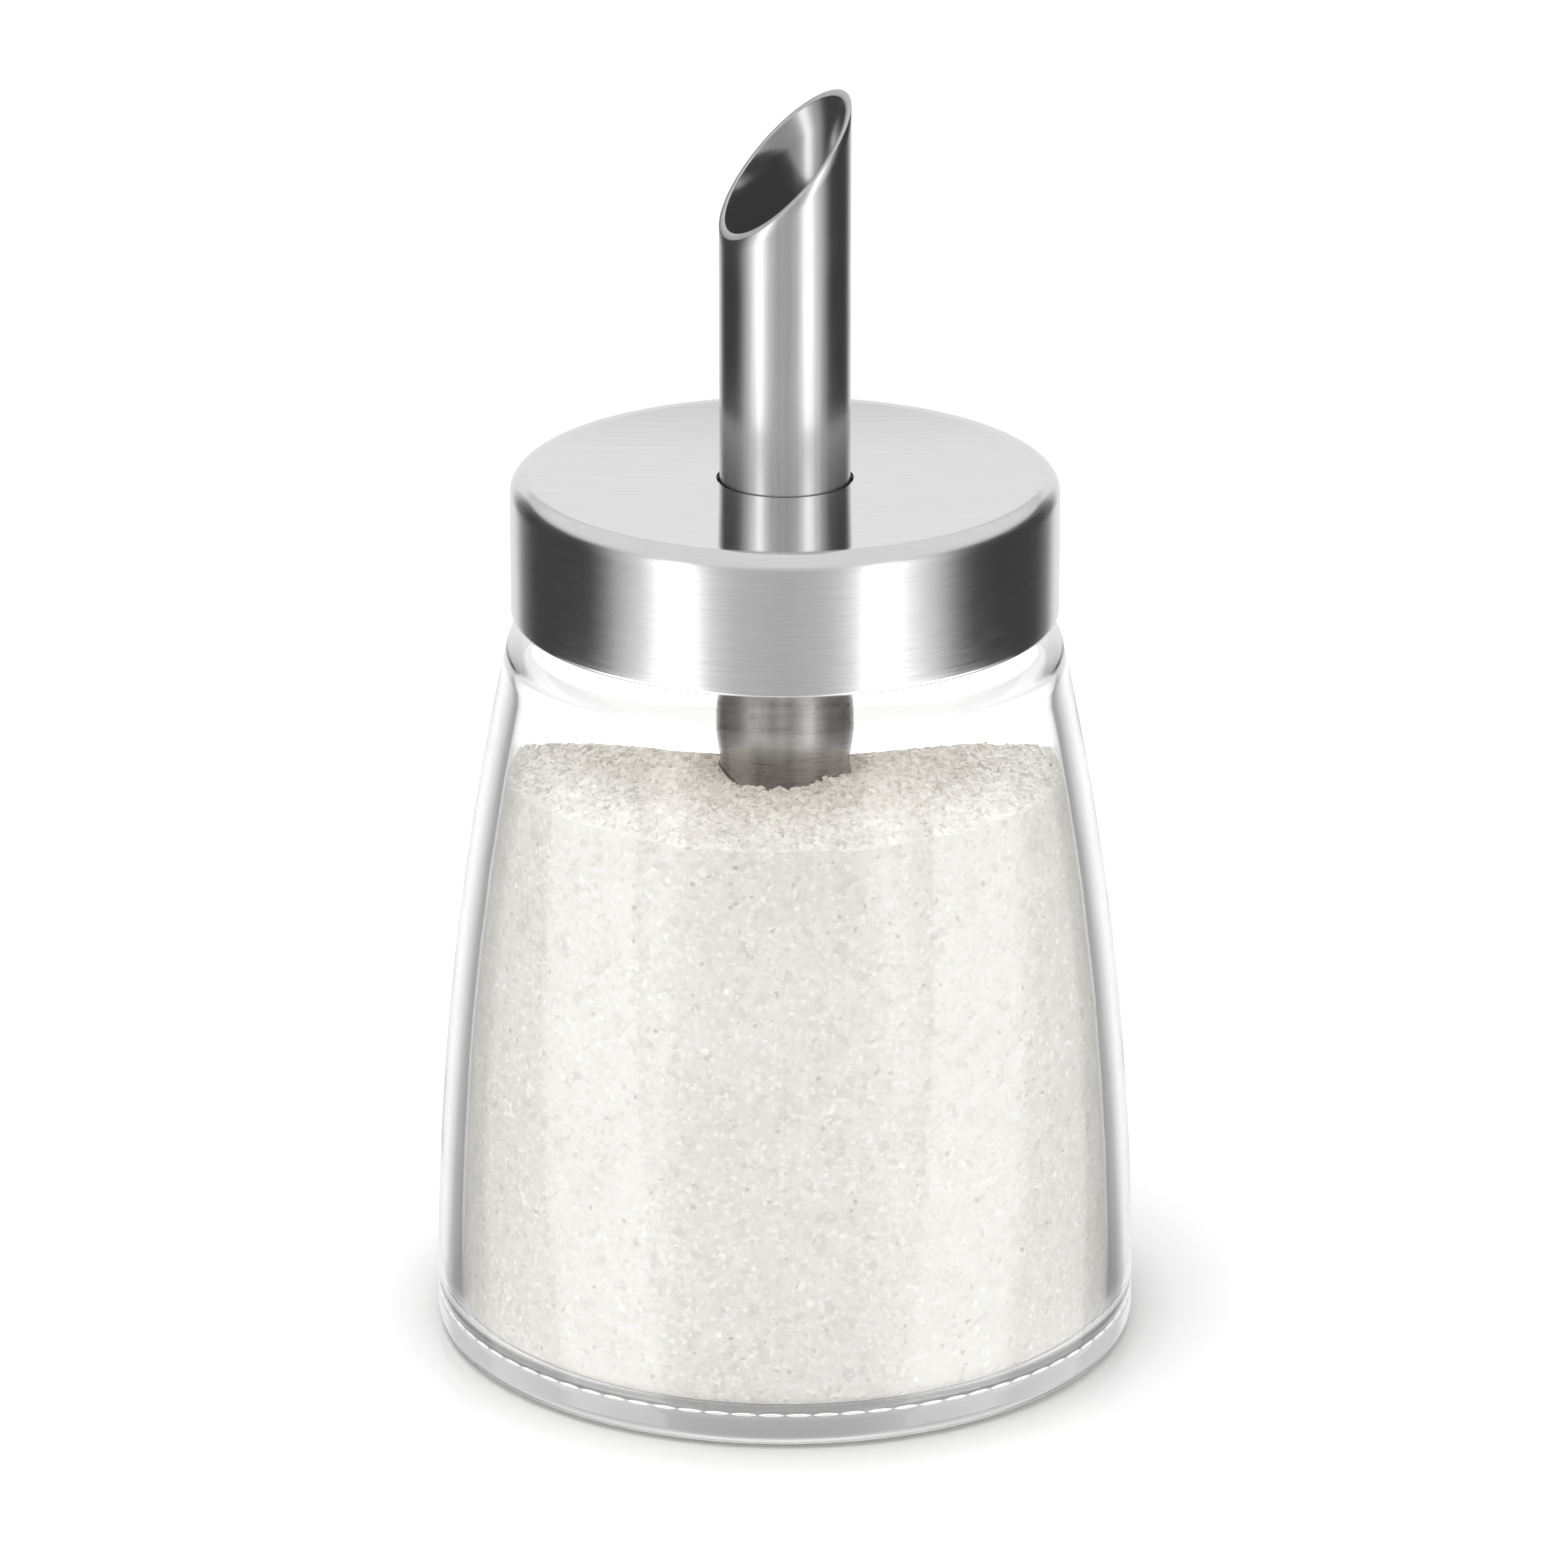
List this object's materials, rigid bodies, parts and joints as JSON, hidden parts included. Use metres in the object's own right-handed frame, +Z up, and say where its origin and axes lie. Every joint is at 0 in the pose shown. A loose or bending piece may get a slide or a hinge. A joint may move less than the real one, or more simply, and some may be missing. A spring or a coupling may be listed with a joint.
{
  "type": "sugar dispenser",
  "caption": "Tapered glass jar with a screw-on steel lid and a slant-cut steel pouring tube that measures out sugar by the portion.",
  "frame": {"origin": "on the table, under the middle of the jar", "axes": "+Z up along the axis of jar, lid and tube; +X to the right in the picture, the side towards which the tube's slanted mouth rises; +Y away from the camera"},
  "size_m": [0.075, 0.075, 0.135],
  "materials": {
    "jar_glass": "clear pressed glass, fire polished",
    "sugar": "dry loose white granules with glinting crystal faces",
    "brushed_lid": "fine brushing round the side and on the top",
    "insert_plastic": "moulded natural white plastic",
    "seal_rubber": "soft translucent silicone",
    "satin_tube": "satin drawn tube, ground cut faces",
    "washer_rubber": "dark moulded rubber"
  },
  "bodies": {
    "jar": {"glass_jar": "jar_glass", "sugar_fill": "sugar"},
    "seal": {"rim_seal": "seal_rubber"},
    "lid": {"lid_shell": "brushed_lid", "lid_insert": "insert_plastic", "pouring_tube": "satin_tube", "tube_washer": "washer_rubber"}
  },
  "joints": [
    {"name": "lid_lift", "type": "slide", "parent": "jar", "child": "seal", "axis": [0, 0, 1], "range_m": [0, 0.004]},
    {"name": "lid_turn", "type": "hinge", "parent": "seal", "child": "lid", "pos_m": [0, 0, 0.09], "axis": [0, 0, 1], "range_deg": [0, 360]}
  ],
  "couplings": [
    {"joint": "lid_lift", "follows": "lid_turn", "m_per_rad": 0.00063661}
  ]
}
